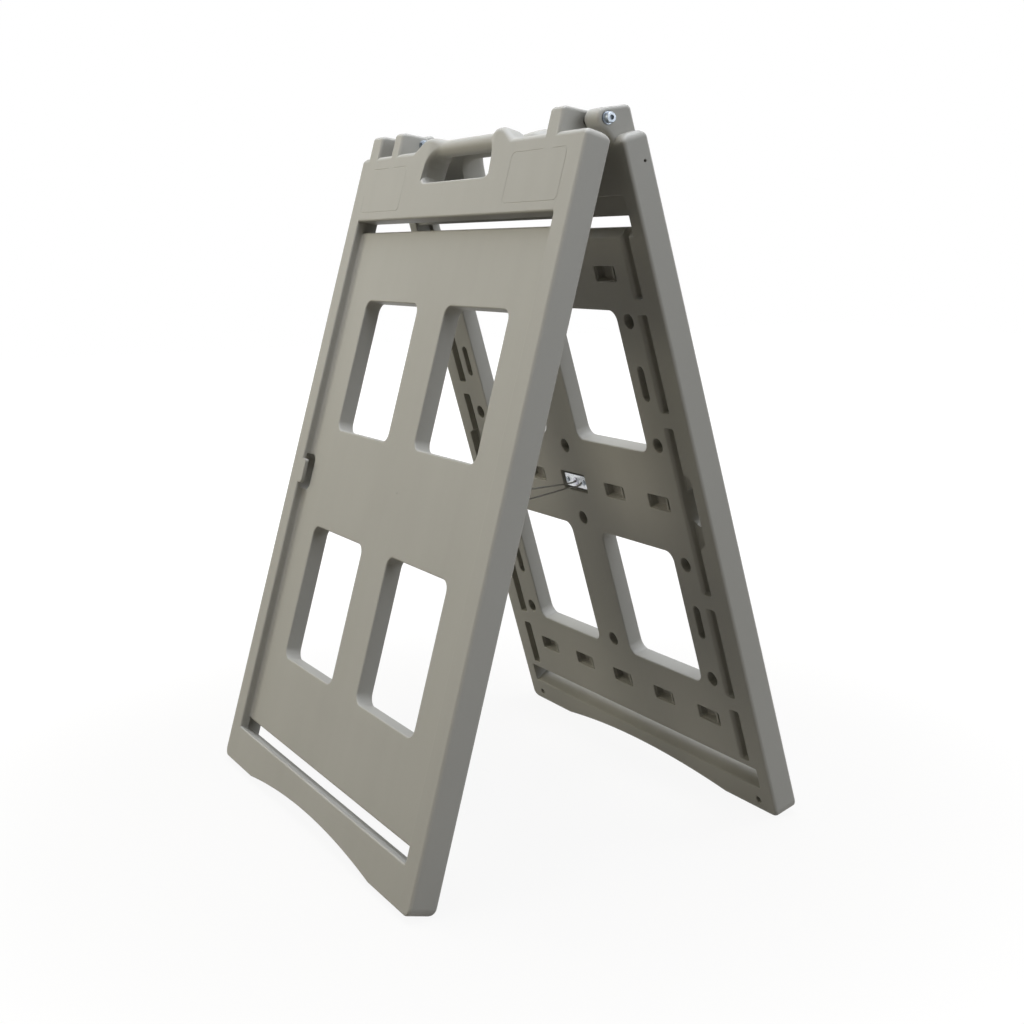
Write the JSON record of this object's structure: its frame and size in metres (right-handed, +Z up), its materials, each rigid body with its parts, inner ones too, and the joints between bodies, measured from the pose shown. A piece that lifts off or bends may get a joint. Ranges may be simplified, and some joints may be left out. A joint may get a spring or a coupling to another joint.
{
  "type": "folding pavement sign",
  "caption": "Folding A-frame pavement sign: moulded plastic sides with open windows and insert recesses, bolted head hinges, carrying handles and a cord between the sides.",
  "frame": {"origin": "centre of the footprint on the ground, with the sign open", "axes": "+X across the sign to the right as seen from the front side, +Y from the front side to the rear side, +Z up"},
  "size_m": [0.635, 0.5904, 0.9453],
  "materials": {
    "moulding": "warm grey polyethylene, satin, with faint vertical flow streaks",
    "fasteners": "bright zinc plate",
    "bush": "black nylon",
    "anchor_plate": "galvanised sheet with faint spangle",
    "eyelet": "nickel plate, satin",
    "cord": "thin braided cord, dull grey"
  },
  "bodies": {
    "front": {"front_side": "moulding", "left_bolt": "fasteners", "left_head_washer": "fasteners", "left_bush": "bush", "left_nut_washer": "fasteners", "left_lock_nut": "fasteners", "front_anchor_plate": "anchor_plate", "front_eyelet": "eyelet", "front_anchor_screws": "fasteners", "upper_cord": "cord", "lower_cord": "cord"},
    "rear": {"rear_side": "moulding", "right_bolt": "fasteners", "right_head_washer": "fasteners", "right_bush": "bush", "right_nut_washer": "fasteners", "right_lock_nut": "fasteners", "rear_anchor_plate": "anchor_plate", "rear_eyelet": "eyelet", "rear_anchor_screws": "fasteners"}
  },
  "joints": [
    {"name": "head_hinge", "type": "hinge", "parent": "front", "child": "rear", "pos_m": [0, 0, 0.92769], "axis": [-1, 0, 0], "range_deg": [0, 31.2], "deforming": ["upper_cord", "lower_cord"]}
  ]
}
